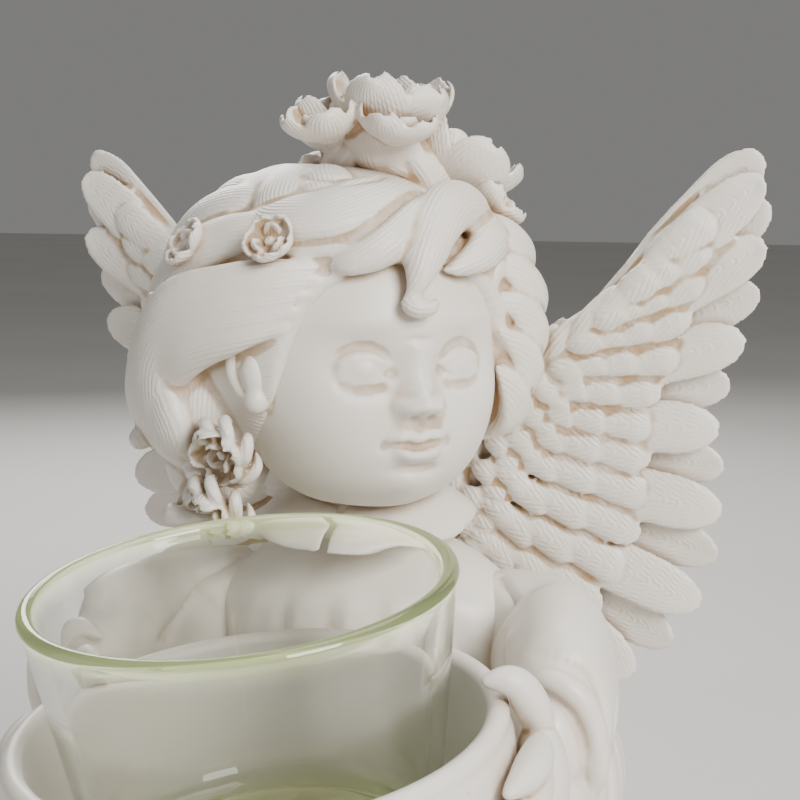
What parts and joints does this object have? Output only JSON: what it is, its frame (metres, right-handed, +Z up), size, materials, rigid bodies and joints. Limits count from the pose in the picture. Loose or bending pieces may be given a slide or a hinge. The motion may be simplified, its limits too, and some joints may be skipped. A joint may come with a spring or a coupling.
{
  "type": "angel figurine",
  "caption": "Cast resin figurine of a kneeling cherub with spread feathered wings and a flower garland, holding a round bowl in front of its chest; a clear glass votive cup stands in the bowl and lifts out",
  "frame": {"origin": "the underside of the felt pad, straight below the figure's neck", "axes": "+Z up; the body faces -Y, its left hand is on +X, and its head is turned 48 degrees towards +X"},
  "size_m": [0.1312, 0.1474, 0.1626],
  "materials": {
    "resin": "satin off-white cast polyresin with a warm antique wash in its recesses",
    "glass": "clear pressed glass with a faint green tint at its edges",
    "felt": "short-pile felt"
  },
  "bodies": {
    "figurine": {"felt_pad": "felt", "robe_skirt": "resin", "torso": "resin", "head": "resin", "collar": "resin", "hair": "resin", "garland_band": "resin", "crown_flower_1": "resin", "crown_flower_2": "resin", "crown_flower_3": "resin", "crown_flower_4": "resin", "crown_flower_5": "resin", "crown_flower_6": "resin", "crown_flower_7": "resin", "hair_flower_1": "resin", "hair_flower_2": "resin", "hair_flower_3": "resin", "hair_flower_4": "resin", "hair_flower_5": "resin", "sleeve_left": "resin", "sleeve_right": "resin", "hand_left": "resin", "hand_right": "resin", "wing_left": "resin", "wing_right": "resin", "foot_left": "resin", "foot_right": "resin", "bowl": "resin"},
    "cup": {"glass_cup": "glass"}
  },
  "joints": [
    {"name": "cup_lift", "type": "slide", "parent": "figurine", "child": "cup", "axis": [-0.0523, -0.1304, 0.9901], "range_m": [0, 0.06]}
  ]
}
